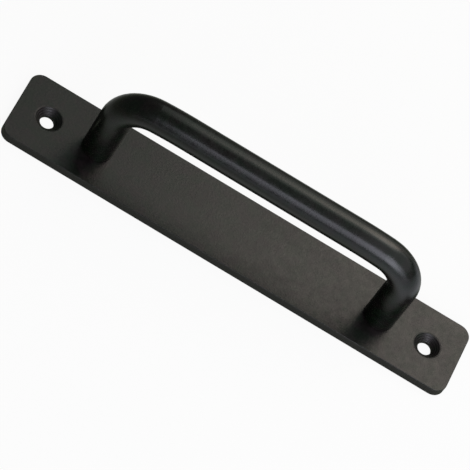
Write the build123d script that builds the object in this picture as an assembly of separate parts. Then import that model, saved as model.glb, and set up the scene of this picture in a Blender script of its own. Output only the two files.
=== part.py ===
from build123d import *
import os
from math import radians, sin, tan

# Sliding gate pull handle: a flat back plate with a round bar bent into a U, held by two screws
# from behind. Millimetres. The origin is the middle of the plate's back face, +X runs along the
# plate and +Z points out of the gate.

# Back plate
plate_length = 200.0
plate_width = 34.0
plate_thickness = 4.0
plate_corner_radius = 5.0
plate_edge_radius = 0.2

# Mounting holes, one near each end, countersunk from the front for wood screws
mount_hole_inset = 14.0  # plate end to hole centre
mount_hole_diameter = 6.0
mount_countersink_diameter = 11.2  # where its cone meets the face, before the mouth is rounded
mount_mouth_radius = 1.0
countersink_angle = 90.0  # shared by the mounting holes and the leg screws

# Pull bar
bar_diameter = 13.2
leg_spacing = 128.0  # between the legs' axes
bar_stand_off = 37.5  # plate face to the bar's axis
bend_radius = 14.5  # on the bar's axis
run_in_radius = 150.0  # the gentler curve with which each bend leaves the grip
run_in_angle = 5.0
leg_end_chamfer = 0.25

# Leg screws, countersunk with a hexagon socket
screw_diameter = 5.0
screw_length = 16.0
screw_tip_chamfer = 0.8
screw_head_diameter = 9.6
screw_head_rim = 0.3  # straight edge of the head
socket_width = 3.0  # across flats
socket_depth = 1.8

# Clearances
screw_hole_clearance = 0.25  # shank to plate, radial
thread_clearance = 0.05  # shank to leg, radial
head_clearance = 0.03  # head to its countersink, radial
head_recess = 0.2  # head below the plate's back
tapped_hole_spare = 2.0  # full depth past the screw's tip

drill_point_angle = 118.0
cut_margin = 1.0  # how far a cutting tool runs out past the face that it opens


def cone_height(wide_radius, narrow_radius, angle):
    """Height over which a cone of this full angle goes from one radius to the other."""
    return (wide_radius - narrow_radius) / tan(radians(angle / 2))


def turned(*outline):
    """Solid of revolution about +Z from (radius, height) points."""
    return revolve(Plane.XZ * Polygon(*outline, align=None), Axis.Z)


def mirrored_places(distance):
    """The two points on the X axis this far from the middle, left one first."""
    return [Pos(-distance, 0, 0), Pos(distance, 0, 0)]


def leg_places():
    return mirrored_places(leg_spacing / 2)


def mount_places():
    return mirrored_places(plate_length / 2 - mount_hole_inset)


def mounting_hole():
    """Cutter for one mounting hole, mouth upwards at the plate's face."""
    hole_radius = mount_hole_diameter / 2
    rim_radius = mount_countersink_diameter / 2
    seat_depth = cone_height(rim_radius, hole_radius, countersink_angle)
    return turned(
        (0, -cut_margin),
        (hole_radius, -cut_margin),
        (hole_radius, plate_thickness - seat_depth),
        (rim_radius, plate_thickness),
        (rim_radius, plate_thickness + cut_margin),
        (0, plate_thickness + cut_margin),
    )


def screw_pocket():
    """Cutter for a leg screw's hole through the plate, its head's seat opening downwards."""
    hole_radius = screw_diameter / 2 + screw_hole_clearance
    seat_radius = screw_head_diameter / 2 + head_clearance
    seat_top = head_recess + screw_head_rim
    return turned(
        (0, -cut_margin),
        (seat_radius, -cut_margin),
        (seat_radius, seat_top),
        (hole_radius, seat_top + cone_height(seat_radius, hole_radius, countersink_angle)),
        (hole_radius, plate_thickness + cut_margin),
        (0, plate_thickness + cut_margin),
    )


def tapped_hole():
    """Cutter for the blind hole up a leg, at the thread's full diameter, with a drill point."""
    hole_radius = screw_diameter / 2 + thread_clearance
    full_depth = head_recess + screw_length + tapped_hole_spare
    return turned(
        (0, plate_thickness - cut_margin),
        (hole_radius, plate_thickness - cut_margin),
        (hole_radius, full_depth),
        (0, full_depth + cone_height(hole_radius, 0, drill_point_angle)),
    )


def back_plate():
    """Flat bar with rounded corners, drilled from the front to mount and from behind for the legs."""
    plate = extrude(
        RectangleRounded(plate_length, plate_width, plate_corner_radius), plate_thickness
    )
    levels = plate.edges().group_by(Axis.Z)
    plate = fillet(levels[0] + levels[-1], plate_edge_radius)
    plate -= [place * mounting_hole() for place in mount_places()]
    mouths = plate.edges().filter_by(GeomType.CIRCLE).group_by(Axis.Z)[-1]
    plate = fillet(mouths, mount_mouth_radius)
    plate -= [place * screw_pocket() for place in leg_places()]
    return plate


def bar_axis():
    """Axis of the bent rod, from foot to foot. Each bend starts gently at the grip, then tightens."""
    turned_in = sin(radians(run_in_angle))
    bend_length = run_in_radius * turned_in + bend_radius * (1 - turned_in)
    axis_height = plate_thickness + bar_stand_off
    half_grip = Line((0, axis_height), (leg_spacing / 2 - bend_length, axis_height))
    run_in = JernArc(half_grip @ 1, half_grip % 1, run_in_radius, -run_in_angle)
    bend = JernArc(run_in @ 1, run_in % 1, bend_radius, run_in_angle - 90)
    leg = Line(bend @ 1, (leg_spacing / 2, plate_thickness))
    right_half = Plane.XZ * (Curve() + [half_grip, run_in, bend, leg])
    return (right_half + mirror(right_half, Plane.YZ)).wires()[0]


def pull_bar():
    """Round rod bent twice into a U, its legs square on the plate's face."""
    route = bar_axis()
    section = Plane(origin=route @ 0, z_dir=route % 0) * Circle(bar_diameter / 2)
    bar = sweep(section, path=route)
    foot_edges = bar.edges().group_by(Axis.Z)[0]
    bar = chamfer(foot_edges, leg_end_chamfer)
    bar -= [place * tapped_hole() for place in leg_places()]
    return bar


def leg_screw():
    """Countersunk screw, head down, its shank pointing up into a leg."""
    shank_radius = screw_diameter / 2
    head_radius = screw_head_diameter / 2
    rim_top = head_recess + screw_head_rim
    tip = head_recess + screw_length
    screw = turned(
        (0, head_recess),
        (head_radius, head_recess),
        (head_radius, rim_top),
        (shank_radius, rim_top + cone_height(head_radius, shank_radius, countersink_angle)),
        (shank_radius, tip - screw_tip_chamfer),
        (shank_radius - screw_tip_chamfer, tip),
        (0, tip),
    )
    hexagon = RegularPolygon(socket_width / 2, side_count=6, major_radius=False)
    socket = Pos(0, 0, head_recess) * extrude(hexagon, socket_depth)
    return screw - socket


left_place, right_place = leg_places()
nodes = {
    "back_plate": back_plate(),
    "pull_bar": pull_bar(),
    "leg_screw_left": left_place * leg_screw(),
    "leg_screw_right": right_place * leg_screw(),
}

os.makedirs("parts", exist_ok=True)
for name, shape in nodes.items():
    export_step(shape, f"parts/{name}.step")
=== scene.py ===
import math

import bpy
from mathutils import Matrix, Vector


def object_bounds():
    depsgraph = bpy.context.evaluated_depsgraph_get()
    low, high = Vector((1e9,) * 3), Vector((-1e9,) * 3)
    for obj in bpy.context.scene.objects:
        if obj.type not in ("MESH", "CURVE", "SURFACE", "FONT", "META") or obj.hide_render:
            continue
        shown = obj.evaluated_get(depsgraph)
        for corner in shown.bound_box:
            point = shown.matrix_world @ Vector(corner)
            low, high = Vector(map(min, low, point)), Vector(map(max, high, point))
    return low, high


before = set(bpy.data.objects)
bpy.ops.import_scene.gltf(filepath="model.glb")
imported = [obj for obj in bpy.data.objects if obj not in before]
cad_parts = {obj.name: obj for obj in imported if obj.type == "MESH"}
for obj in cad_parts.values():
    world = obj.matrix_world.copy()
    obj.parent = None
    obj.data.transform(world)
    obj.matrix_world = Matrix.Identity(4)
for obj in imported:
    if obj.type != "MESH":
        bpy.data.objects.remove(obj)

# Sliding gate pull handle: black anodised back plate and pull bar, blackened leg screws.
# Lengths are in metres and angles in degrees. Azimuth 0 is in front, at -Y, and 90 at +X.
CAD_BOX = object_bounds()
MM = 0.001

# Camera, at the photograph's angle. The roll turns it about its own line of sight.
CAMERA_AIM = Vector((-0.00165, -0.01065, 0.0156))
CAMERA_AZIMUTH = -5.74
CAMERA_ELEVATION = 53.4
CAMERA_ROLL = 35.53
CAMERA_DISTANCE = 1.4536
CAMERA_LENS_MM = 288.84
SENSOR_MM = 36.0

# Studio
LIGHT_AIM = Vector((0, 0, 0.02))
ROOM_LEVEL = 0.095  # dim even light from the room
FLOOR_HALF_SIZE = 3.0
FLOOR_DROP = 0.05 * MM  # keeps the floor clear of the plate's back face
FLOOR_COLOUR = 0.8
BACKGROUND_SHARE = 0.93  # the part of the floor that the camera sees as plain white; the rest holds shadow

# The floor as the satin finish mirrors it, a glowing painted reflection. Close to the plate it is dim, a
# painted contact shade. Beyond the contact shade it also has a painted pool of light that fades outwards
# from the middle, and painted window light towards the window.
DIM_FLOOR = (0.137, 0.153, 0.114)
PAINTED_LIGHT_POOL = (0.610, 0.609, 0.632)
PAINTED_LIGHT_POOL_REACH = 0.120
PAINTED_WINDOW_LIGHT = (0.556, 0.569, 0.655)
WINDOW_SIDE = (0.849, -0.528, 0.0)  # level direction towards the window
PAINTED_WINDOW_LIGHT_FROM = 0.048
PAINTED_WINDOW_LIGHT_TO = 0.103
CONTACT_SHADE_WIDTH = 0.018
PLATE_HALF_SIZE = (CAD_BOX[1][0], CAD_BOX[1][1], 0.0)  # the plate is as long and wide as the CAD box

# Colours of the finishes. They are nearly black, and most of what shows is the studio in their sheen.
PLATE_BLACK = (0.0058, 0.0058, 0.0052)
BAR_BLACK = (0.0037, 0.0046, 0.0031)
BLACK_OXIDE = (0.020, 0.019, 0.018)
GREYER_SIDE_COLOUR = (0.0180, 0.0178, 0.0165)  # the plate's cut sides, greyer than its faces
SIDE_BELOW = 0.2  # the plate's surface is a cut side where its normal rises less than this,
FACE_ABOVE = 0.5  # and a face or a countersink where its normal rises more than this
WORN_EDGE = (0.055, 0.054, 0.052)
GREENISH = (0.65, 1.12, 0.75)  # the black is multiplied by this in some places
REDDISH = (1.4, 0.91, 1.2)  # and by this in others
MOTTLING = 0.5  # how far clouds and grain together lighten or darken the colour

# Sheen of the finishes
SATIN_REFLECTION = 0.4
BAR_REFLECTION_TINT = (0.965, 0.99, 1.0, 1.0)
CLOUD_ROUGHENING = 0.09
WEAR_ROUGHENING = -0.06  # rubbed edges are smoother

# Each finish: how rough it is, how deep and coarse its grain is, and how much rougher smears make it
PLATE_FINISH = {
    "roughness": 0.37, "grain_depth": 0.05 * MM, "grain_size": 0.45 * MM, "smear_roughening": 0.04
}
BAR_FINISH = {
    "roughness": 0.255, "grain_depth": 0.025 * MM, "grain_size": 0.4 * MM, "smear_roughening": 0.05
}
SCREW_FINISH = {
    "roughness": 0.34, "grain_depth": 0.008 * MM, "grain_size": 0.25 * MM, "smear_roughening": 0.03
}

# Tool rings in the plate's two countersinks and on the two screw heads
COUNTERSINK_RINGS = {
    "axis_distance": 86 * MM, "outer_radius": 5.9 * MM, "pitch": 0.75 * MM,
    "depth": 0.08 * MM, "roughening": 0.08,
}
SCREW_HEAD_RINGS = {
    "axis_distance": 64 * MM, "outer_radius": 6 * MM, "pitch": 0.4 * MM,
    "depth": 0.01 * MM, "roughening": 0.0,
}


def towards(azimuth, elevation):
    """Unit vector from the object to a viewer in this direction."""
    a, e = math.radians(azimuth), math.radians(elevation)
    return Vector((math.sin(a) * math.cos(e), -math.cos(a) * math.cos(e), math.sin(e)))


def aimed(data, name, aim, azimuth, elevation, distance, roll):
    """Object of this data, placed round a point and looking at it."""
    out = towards(azimuth, elevation)
    turn = (-out).to_track_quat("-Z", "Y").to_matrix() @ Matrix.Rotation(math.radians(roll), 3, "Z")
    obj = bpy.data.objects.new(name, data)
    obj.matrix_world = Matrix.Translation(aim + out * distance) @ turn.to_4x4()
    bpy.context.scene.collection.objects.link(obj)
    return obj


def make_camera():
    data = bpy.data.cameras.new("camera")
    data.sensor_width = SENSOR_MM
    data.lens = CAMERA_LENS_MM
    camera = aimed(
        data, "camera", CAMERA_AIM, CAMERA_AZIMUTH, CAMERA_ELEVATION, CAMERA_DISTANCE, CAMERA_ROLL
    )
    bpy.context.scene.camera = camera


def softbox(name, azimuth, elevation, distance, roll, width, height, brightness, colour):
    """Soft light panel. Its brightness is how bright it looks in a mirror."""
    data = bpy.data.lights.new(name, "AREA")
    data.shape = "RECTANGLE"
    data.size, data.size_y = width, height
    data.energy = brightness * math.pi * width * height
    data.color = colour
    aimed(data, name, LIGHT_AIM, azimuth, elevation, distance, roll)


def make_studio_lights():
    """Plain soft panels, each with its own slight warmth or coolness."""
    softbox(
        "key_behind_right", azimuth=153.9, elevation=50.6, distance=0.98, roll=9,
        width=0.36, height=0.56, brightness=2.08, colour=(1.00, 0.77, 0.625),
    )
    softbox(
        "high_panel_behind", azimuth=154.1, elevation=55.5, distance=1.50, roll=-29,
        width=0.56, height=0.60, brightness=0.86, colour=(0.98, 1.00, 1.00),
    )
    softbox(
        "panel_behind", azimuth=153.5, elevation=29.3, distance=0.56, roll=13,
        width=0.45, height=0.43, brightness=0.53, colour=(1.00, 0.98, 0.91),
    )
    softbox(
        "tall_panel_behind", azimuth=165.3, elevation=56.0, distance=1.43, roll=22,
        width=0.94, height=1.36, brightness=0.68, colour=(0.87, 1.00, 0.89),
    )
    softbox(
        "overhead_right", azimuth=83.2, elevation=50.5, distance=0.80, roll=9,
        width=1.37, height=1.00, brightness=0.72, colour=(0.96, 1.00, 0.99),
    )
    softbox(
        "window_front_right", azimuth=21.3, elevation=25.0, distance=1.38, roll=6,
        width=0.81, height=1.00, brightness=3.62, colour=(0.90, 0.88, 1.00),
    )
    softbox(
        "low_panel_right", azimuth=37.6, elevation=15.8, distance=0.54, roll=8,
        width=0.34, height=0.29, brightness=2.13, colour=(0.90, 0.90, 1.00),
    )


# Shader building

def connect(tree, value, socket):
    """Give a socket a link, or a plain value."""
    if isinstance(value, bpy.types.NodeSocket):
        tree.links.new(value, socket)
    else:
        socket.default_value = value


def fill(tree, node, sockets):
    """Fill a node's inputs by name, with an underscore for each space."""
    for name, value in sockets.items():
        connect(tree, value, node.inputs[name.replace("_", " ")])


def add(tree, kind, settings=None, **sockets):
    """Add a shader node with its own options and its filled inputs."""
    made = tree.nodes.new(kind)
    for name, value in (settings or {}).items():
        setattr(made, name, value)
    fill(tree, made, sockets)
    return made


def calculate(tree, operation, *values):
    """Output of a Math node over one to three links or numbers."""
    made = add(tree, "ShaderNodeMath", {"operation": operation})
    for value, socket in zip(values, made.inputs):
        connect(tree, value, socket)
    return made.outputs["Value"]


def calculate_vector(tree, operation, *values, output="Vector"):
    """Output of a Vector Math node over one or two links or vectors."""
    made = add(tree, "ShaderNodeVectorMath", {"operation": operation})
    for value, socket in zip(values, made.inputs):
        connect(tree, value, socket)
    return made.outputs[output]


def scaled(tree, vector, factor):
    """Vector or colour times a number."""
    made = add(tree, "ShaderNodeVectorMath", {"operation": "SCALE"}, Vector=vector, Scale=factor)
    return made.outputs["Vector"]


def remap(tree, value, low, high, to_low=0.0, to_high=1.0, curve="LINEAR"):
    """Value carried from one range to another and held inside it."""
    made = add(
        tree, "ShaderNodeMapRange", {"clamp": True, "interpolation_type": curve},
        Value=value, From_Min=low, From_Max=high, To_Min=to_low, To_Max=to_high,
    )
    return made.outputs["Result"]


def noise(tree, position, size, detail, roughness=0.5, distortion=0.0):
    """Noise round 0.5, inside 0 to 1, whose features are about this size."""
    made = add(
        tree, "ShaderNodeTexNoise", Vector=position, Scale=calculate(tree, "DIVIDE", 1.0, size),
        Detail=detail, Roughness=roughness, Distortion=distortion,
    )
    return made.outputs["Fac"]


def blend_colours(tree, mask, low, high):
    """Low colour where the mask is 0, and high colour where it is 1."""
    made = add(tree, "ShaderNodeMix", {"data_type": "RGBA"}, Factor=mask)
    a, b = [socket for socket in made.inputs if socket.type == "RGBA"]
    connect(tree, low, a)
    connect(tree, high, b)
    return [socket for socket in made.outputs if socket.type == "RGBA"][0]


def opaque(colour):
    return (*colour, 1.0)


def grey(value):
    return opaque((value, value, value))


def object_position(tree):
    return add(tree, "ShaderNodeTexCoord").outputs["Object"]


def new_group(name, inputs, outputs):
    """Empty shader node group. Inputs are names with their usual values, outputs names only."""
    tree = bpy.data.node_groups.new(name, "ShaderNodeTree")
    for label, value in inputs.items():
        kind = "NodeSocketVector" if isinstance(value, tuple) else "NodeSocketFloat"
        socket = tree.interface.new_socket(label, in_out="INPUT", socket_type=kind)
        socket.default_value = value
    for label in outputs:
        tree.interface.new_socket(label, in_out="OUTPUT", socket_type="NodeSocketFloat")
    return tree, add(tree, "NodeGroupInput").outputs, add(tree, "NodeGroupOutput").inputs


def place_group(tree, group, **sockets):
    """Outputs of a group placed in a material with its own values."""
    made = add(tree, "ShaderNodeGroup", {"node_tree": group})
    fill(tree, made, sockets)
    return made.outputs


# Groups that the finishes share

def blasted_grain_group():
    """Fine even grain of metal that was blasted before it was blackened, and its clouded colour."""
    tree, given, out = new_group(
        "blasted_grain",
        {"Grain Size": 0.3 * MM, "Cloud Size": 2.4 * MM, "Tint Size": 5 * MM},
        ["Height", "Speckle", "Cloud", "Tint"],
    )
    position = object_position(tree)
    fine_share, coarse_share, times_coarser = 0.4, 0.6, 2.3
    most_of_noise = (0.3, 0.7)
    middle_of_noise = (0.35, 0.65)
    coarse_size = calculate(tree, "MULTIPLY", given["Grain Size"], times_coarser)
    fine = noise(tree, position, given["Grain Size"], detail=2.0, roughness=0.6)
    coarse = noise(tree, position, coarse_size, detail=1.0)
    fine_part = calculate(tree, "MULTIPLY", fine, fine_share)
    connect(tree, calculate(tree, "MULTIPLY_ADD", coarse, coarse_share, fine_part), out["Height"])
    connect(tree, remap(tree, coarse, *most_of_noise), out["Speckle"])
    cloud = noise(tree, position, given["Cloud Size"], detail=3.0, roughness=0.55)
    connect(tree, remap(tree, cloud, *most_of_noise), out["Cloud"])
    tint = noise(tree, position, given["Tint Size"], detail=1.0, roughness=0.4, distortion=0.3)
    connect(tree, remap(tree, tint, *middle_of_noise), out["Tint"])
    return tree


def edge_wear_group():
    """Mask of the outer edges, rubbed in patches, from how far a rounded normal leaves the surface's."""
    tree, given, out = new_group(
        "edge_wear", {"Edge Width": 0.35 * MM, "Patch Size": 7 * MM, "Patchiness": 0.6}, ["Wear"]
    )
    rounded = add(tree, "ShaderNodeBevel", {"samples": 6}, Radius=given["Edge Width"])
    true_normal = add(tree, "ShaderNodeNewGeometry").outputs["Normal"]
    agreement = calculate_vector(
        tree, "DOT_PRODUCT", rounded.outputs["Normal"], true_normal, output="Value"
    )
    on_flat_face, on_edge = 0.995, 0.90
    edge = remap(tree, agreement, on_flat_face, on_edge)
    patches = noise(tree, object_position(tree), given["Patch Size"], detail=4.0, roughness=0.6)
    highest_start, rubbed_through = 0.65, 0.75
    start = calculate(tree, "MULTIPLY", given["Patchiness"], highest_start)
    rubbed = remap(tree, patches, start, rubbed_through)
    connect(tree, calculate(tree, "MULTIPLY", edge, rubbed), out["Wear"])
    return tree


def handling_marks_group():
    """Soft smears that hands leave: long clouds, drawn out along the handle."""
    tree, given, out = new_group(
        "handling_marks", {"Mark Size": 14 * MM, "Stretch": (0.45, 1.0, 1.0)}, ["Smear"]
    )
    drawn_out = calculate_vector(tree, "MULTIPLY", object_position(tree), given["Stretch"])
    smear = noise(tree, drawn_out, given["Mark Size"], detail=3.0, roughness=0.55, distortion=0.6)
    clean_below, smeared_above = 0.38, 0.68
    connect(tree, remap(tree, smear, clean_below, smeared_above), out["Smear"])
    return tree


def turned_rings_group():
    """Fine tool rings round two upright axes that mirror each other, a distance each side of x = 0."""
    tree, given, out = new_group(
        "turned_rings",
        {"Axis Distance": 50 * MM, "Outer Radius": 5 * MM, "Ring Pitch": 0.25 * MM},
        ["Height", "Inside"],
    )
    place = add(tree, "ShaderNodeSeparateXYZ", Vector=object_position(tree)).outputs
    along = calculate(tree, "SUBTRACT", calculate(tree, "ABSOLUTE", place["X"]), given["Axis Distance"])
    squared = calculate(tree, "MULTIPLY_ADD", along, along, calculate(tree, "POWER", place["Y"], 2.0))
    radius = calculate(tree, "SQRT", squared)
    turns = calculate(tree, "DIVIDE", radius, given["Ring Pitch"])
    wave = calculate(tree, "SINE", calculate(tree, "MULTIPLY", turns, math.tau))
    connect(tree, calculate(tree, "MULTIPLY_ADD", wave, 0.5, 0.5), out["Height"])
    connect(tree, calculate(tree, "LESS_THAN", radius, given["Outer Radius"]), out["Inside"])
    return tree


# Finishes

def new_material(name, base, roughness):
    """Material with its tree and its Principled shader."""
    material = bpy.data.materials.new(name)
    material.use_nodes = True
    material.diffuse_color = opaque(base)
    material.roughness = roughness
    tree = material.node_tree
    shader = tree.nodes["Principled BSDF"]
    shader.inputs["Metallic"].default_value = 0.0
    shader.inputs["Specular IOR Level"].default_value = SATIN_REFLECTION
    return material, tree, shader


def add_bump(tree, height, depth, **sockets):
    """Normal of a surface with this relief, as deep as this where the height is 1."""
    made = add(tree, "ShaderNodeBump", Height=height, Strength=1.0, Distance=depth, **sockets)
    return made.outputs["Normal"]


def satin_black(name, groups, base, roughness, grain_depth, grain_size, smear_roughening):
    """Black finish that the plate, the bar and the screws share, each with its own values."""
    material, tree, shader = new_material(name, base, roughness)
    grain = place_group(tree, groups["grain"], Grain_Size=grain_size)
    smears = place_group(tree, groups["marks"])
    wear = place_group(tree, groups["wear"])

    greenish = opaque([part * factor for part, factor in zip(base, GREENISH)])
    reddish = opaque([part * factor for part, factor in zip(base, REDDISH)])
    tinted = blend_colours(tree, grain["Tint"], greenish, reddish)
    mottle = calculate(tree, "ADD", grain["Cloud"], grain["Speckle"])
    brightness = calculate(tree, "MULTIPLY_ADD", mottle, MOTTLING, 1.0 - MOTTLING)
    mottled = scaled(tree, tinted, brightness)
    colour = blend_colours(tree, wear["Wear"], mottled, opaque(WORN_EDGE))
    connect(tree, colour, shader.inputs["Base Color"])

    smoothest = roughness - (smear_roughening + CLOUD_ROUGHENING) / 2
    rough = calculate(tree, "MULTIPLY_ADD", smears["Smear"], smear_roughening, smoothest)
    rough = calculate(tree, "MULTIPLY_ADD", grain["Cloud"], CLOUD_ROUGHENING, rough)
    rough = calculate(tree, "MULTIPLY_ADD", wear["Wear"], WEAR_ROUGHENING, rough)
    connect(tree, rough, shader.inputs["Roughness"])

    connect(tree, add_bump(tree, grain["Height"], grain_depth), shader.inputs["Normal"])
    return material, tree, shader


def what_feeds(socket):
    """Output that is linked to this input."""
    return socket.links[0].from_socket


def turn_surface(tree, shader, group, axis_distance, outer_radius, pitch, depth, roughening):
    """Cut tool rings over the grain, and make the surface rougher where they are."""
    rings = place_group(
        tree, group, Axis_Distance=axis_distance, Outer_Radius=outer_radius, Ring_Pitch=pitch
    )
    cut = calculate(tree, "MULTIPLY", rings["Height"], rings["Inside"])
    ringed = add_bump(tree, cut, depth, Normal=what_feeds(shader.inputs["Normal"]))
    connect(tree, ringed, shader.inputs["Normal"])
    rough = what_feeds(shader.inputs["Roughness"])
    rough = calculate(tree, "MULTIPLY_ADD", rings["Inside"], roughening, rough)
    connect(tree, rough, shader.inputs["Roughness"])


def grey_cut_sides(tree, shader):
    """Greyer colour on the upright sides of the plate."""
    normal = add(tree, "ShaderNodeTexCoord").outputs["Normal"]
    rise = add(tree, "ShaderNodeSeparateXYZ", Vector=normal).outputs["Z"]
    side = remap(tree, calculate(tree, "ABSOLUTE", rise), SIDE_BELOW, FACE_ABOVE, 1.0, 0.0)
    face_colour = what_feeds(shader.inputs["Base Color"])
    colour = blend_colours(tree, side, face_colour, opaque(GREYER_SIDE_COLOUR))
    connect(tree, colour, shader.inputs["Base Color"])


def plate_material(groups):
    material, tree, shader = satin_black("anodised_plate", groups, PLATE_BLACK, **PLATE_FINISH)
    grey_cut_sides(tree, shader)
    turn_surface(tree, shader, groups["rings"], **COUNTERSINK_RINGS)
    return material


def bar_material(groups):
    material, _, shader = satin_black("anodised_bar", groups, BAR_BLACK, **BAR_FINISH)
    shader.inputs["Specular Tint"].default_value = BAR_REFLECTION_TINT
    return material


def screw_material(groups):
    material, tree, shader = satin_black("black_oxide_screw", groups, BLACK_OXIDE, **SCREW_FINISH)
    turn_surface(tree, shader, groups["rings"], **SCREW_HEAD_RINGS)
    return material


def dress(node, material):
    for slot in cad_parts[node].material_slots:
        slot.material = material


def dress_pieces():
    groups = {
        "grain": blasted_grain_group(),
        "wear": edge_wear_group(),
        "marks": handling_marks_group(),
        "rings": turned_rings_group(),
    }
    dress("back_plate", plate_material(groups))
    dress("pull_bar", bar_material(groups))
    blackened = screw_material(groups)
    dress("leg_screw_left", blackened)
    dress("leg_screw_right", blackened)


# Floor and room

def distance_from_plate(tree, position):
    """How far a place on the floor is from the plate's outline."""
    beyond = calculate_vector(
        tree, "SUBTRACT", calculate_vector(tree, "ABSOLUTE", position), PLATE_HALF_SIZE
    )
    beyond = calculate_vector(tree, "MULTIPLY", beyond, (1.0, 1.0, 0.0))
    beyond = calculate_vector(tree, "MAXIMUM", beyond, (0.0, 0.0, 0.0))
    return calculate_vector(tree, "LENGTH", beyond, output="Value")


def painted_floor_reflection(tree):
    """Painted reflection of the floor in the satin finish: a painted contact shade, a painted pool of
    light and painted window light, from place to place.
    """
    position = add(tree, "ShaderNodeNewGeometry").outputs["Position"]
    from_middle = calculate_vector(tree, "LENGTH", position, output="Value")
    reach = calculate(tree, "DIVIDE", from_middle, PAINTED_LIGHT_POOL_REACH)
    # painted pool of light, fading outwards from the middle
    painted_pool = calculate(tree, "POWER", math.exp(-1.0), calculate(tree, "POWER", reach, 2.0))
    # painted window light, rising towards the window
    along = calculate_vector(tree, "DOT_PRODUCT", position, WINDOW_SIDE, output="Value")
    painted_window_share = remap(tree, along, PAINTED_WINDOW_LIGHT_FROM, PAINTED_WINDOW_LIGHT_TO, curve="SMOOTHSTEP")
    # painted contact shade: 0 at the plate's outline, 1 beyond its width
    clear = remap(
        tree, distance_from_plate(tree, position), 0.0, CONTACT_SHADE_WIDTH, curve="SMOOTHSTEP"
    )
    total = DIM_FLOOR
    for share, level in ((painted_pool, PAINTED_LIGHT_POOL), (painted_window_share, PAINTED_WINDOW_LIGHT)):
        patch = scaled(tree, level, calculate(tree, "MULTIPLY", share, clear))
        total = calculate_vector(tree, "ADD", total, patch)
    return total


def floor_material():
    """Pale floor that the camera sees as nearly white, with the object's shadow left in. In the finish's
    reflections it glows with the painted floor reflection.
    """
    material = bpy.data.materials.new("pale_floor")
    material.use_nodes = True
    tree = material.node_tree
    tree.nodes.clear()
    path = add(tree, "ShaderNodeLightPath").outputs
    seen = calculate(tree, "MAXIMUM", path["Is Camera Ray"], path["Is Transmission Ray"])
    share = calculate(tree, "MULTIPLY_ADD", seen, BACKGROUND_SHARE, path["Is Glossy Ray"])
    # glossy rays see the glowing painted reflection of the floor, the others white
    colour = blend_colours(tree, path["Is Glossy Ray"], grey(1.0), painted_floor_reflection(tree))
    lit = add(tree, "ShaderNodeBsdfDiffuse", Color=grey(FLOOR_COLOUR))
    white = add(tree, "ShaderNodeEmission", Color=colour, Strength=1.0)
    mix = add(tree, "ShaderNodeMixShader", Fac=share)
    connect(tree, lit.outputs["BSDF"], mix.inputs[1])
    connect(tree, white.outputs["Emission"], mix.inputs[2])
    add(tree, "ShaderNodeOutputMaterial", Surface=mix.outputs["Shader"])
    return material


def make_floor():
    mesh = bpy.data.meshes.new("floor")
    s = FLOOR_HALF_SIZE
    mesh.from_pydata([(-s, -s, 0), (s, -s, 0), (s, s, 0), (-s, s, 0)], [], [(0, 1, 2, 3)])
    floor = bpy.data.objects.new("floor", mesh)
    floor.location.z = -FLOOR_DROP
    bpy.context.scene.collection.objects.link(floor)
    mesh.materials.append(floor_material())


def make_world():
    """Dim room that lights the object evenly and looks white behind it."""
    world = bpy.data.worlds.new("studio")
    bpy.context.scene.world = world
    world.use_nodes = True
    tree = world.node_tree
    path = add(tree, "ShaderNodeLightPath").outputs
    seen = calculate(tree, "MAXIMUM", path["Is Camera Ray"], path["Is Transmission Ray"])
    background = tree.nodes["Background"]
    background.inputs["Color"].default_value = grey(1.0)
    connect(tree, remap(tree, seen, 0.0, 1.0, ROOM_LEVEL, 1.0), background.inputs["Strength"])


bpy.context.scene.view_settings.view_transform = "Standard"
make_camera()
make_floor()
make_world()
make_studio_lights()
dress_pieces()
